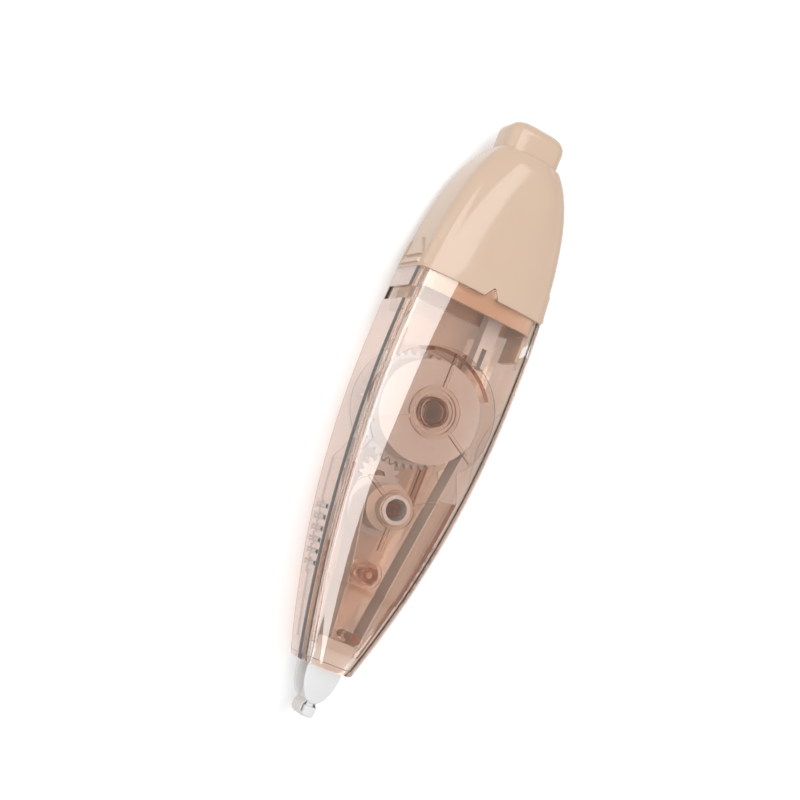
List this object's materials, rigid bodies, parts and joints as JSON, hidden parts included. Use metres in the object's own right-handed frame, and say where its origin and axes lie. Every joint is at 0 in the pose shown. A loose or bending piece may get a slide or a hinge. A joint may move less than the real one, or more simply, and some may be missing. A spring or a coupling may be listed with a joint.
{
  "type": "correction tape roller",
  "caption": "Push-button correction tape roller with a clear tapering barrel, an opaque cap and a geared refill core that slides to bring its white applicator tip in and out.",
  "frame": {"origin": "middle of the box of the whole part, on the surface that its back lies on", "axes": "+X across the width, +Y from the tip to the push button, +Z out of the front face"},
  "size_m": [0.0302, 0.1264, 0.017],
  "materials": {
    "clear_shell": "clear tinted gloss",
    "clear_core": "clear gloss",
    "cap": "gloss",
    "reel": "satin",
    "tip": "satin",
    "tape": "matt coated film",
    "liner": "satin film",
    "spring": "drawn wire"
  },
  "bodies": {
    "barrel": {"barrel_front": "clear_shell", "barrel_back": "clear_shell"},
    "cap": {"cap_shell": "cap", "button_guide": "reel", "return_spring": "spring"},
    "button": {"push_button": "cap", "push_rod": "reel"},
    "cam": {"click_cam": "reel"},
    "core": {"core_frame": "clear_core", "core_rail": "reel", "core_cover": "clear_core", "core_arch": "clear_core", "applicator_tip": "tip", "lower_pin": "clear_core", "fresh_tape": "tape", "used_liner": "liner"},
    "guide": {"guide_roller": "reel"},
    "supply": {"supply_gear": "reel", "supply_spool": "reel", "tape_roll": "tape", "clutch_ring": "spring"},
    "idler": {"idler_gear": "reel"},
    "takeup": {"takeup_reel": "reel", "liner_roll": "liner"}
  },
  "joints": [
    {"name": "cap_slide", "type": "slide", "parent": "barrel", "child": "cap", "axis": [0, 1, 0], "range_m": [0, 0.025]},
    {"name": "button_slide", "type": "slide", "parent": "cap", "child": "button", "axis": [0, 1, 0], "range_m": [-0.0005, 0.011], "deforming": ["return_spring"]},
    {"name": "cam_turn", "type": "hinge", "parent": "button", "child": "cam", "pos_m": [0, 0.03675, 0.0085], "axis": [0, 1, 0], "range_deg": [-4, 61]},
    {"name": "core_slide", "type": "slide", "parent": "barrel", "child": "core", "axis": [0, 1, 0], "range_m": [-0.0005, 0.011]},
    {"name": "guide_spin", "type": "hinge", "parent": "core", "child": "guide", "pos_m": [0.0004, -0.03345, 0.0085], "axis": [0, 0, 1], "continuous": true},
    {"name": "supply_spin", "type": "hinge", "parent": "core", "child": "supply", "pos_m": [0, 0.00075, 0.0085], "axis": [0, 0, 1], "continuous": true},
    {"name": "idler_spin", "type": "hinge", "parent": "core", "child": "idler", "pos_m": [-0.0018, -0.01414, 0.0085], "axis": [0, 0, 1], "continuous": true},
    {"name": "takeup_spin", "type": "hinge", "parent": "core", "child": "takeup", "pos_m": [0, -0.01987, 0.0085], "axis": [0, 0, 1], "continuous": true}
  ],
  "couplings": [
    {"joint": "core_slide", "follows": "button_slide", "ratio": 1},
    {"joint": "cam_turn", "follows": "button_slide", "rad_per_m": 95},
    {"joint": "guide_spin", "follows": "supply_spin", "ratio": 4.12},
    {"joint": "idler_spin", "follows": "supply_spin", "ratio": -3.2857},
    {"joint": "takeup_spin", "follows": "supply_spin", "ratio": 4.6}
  ]
}
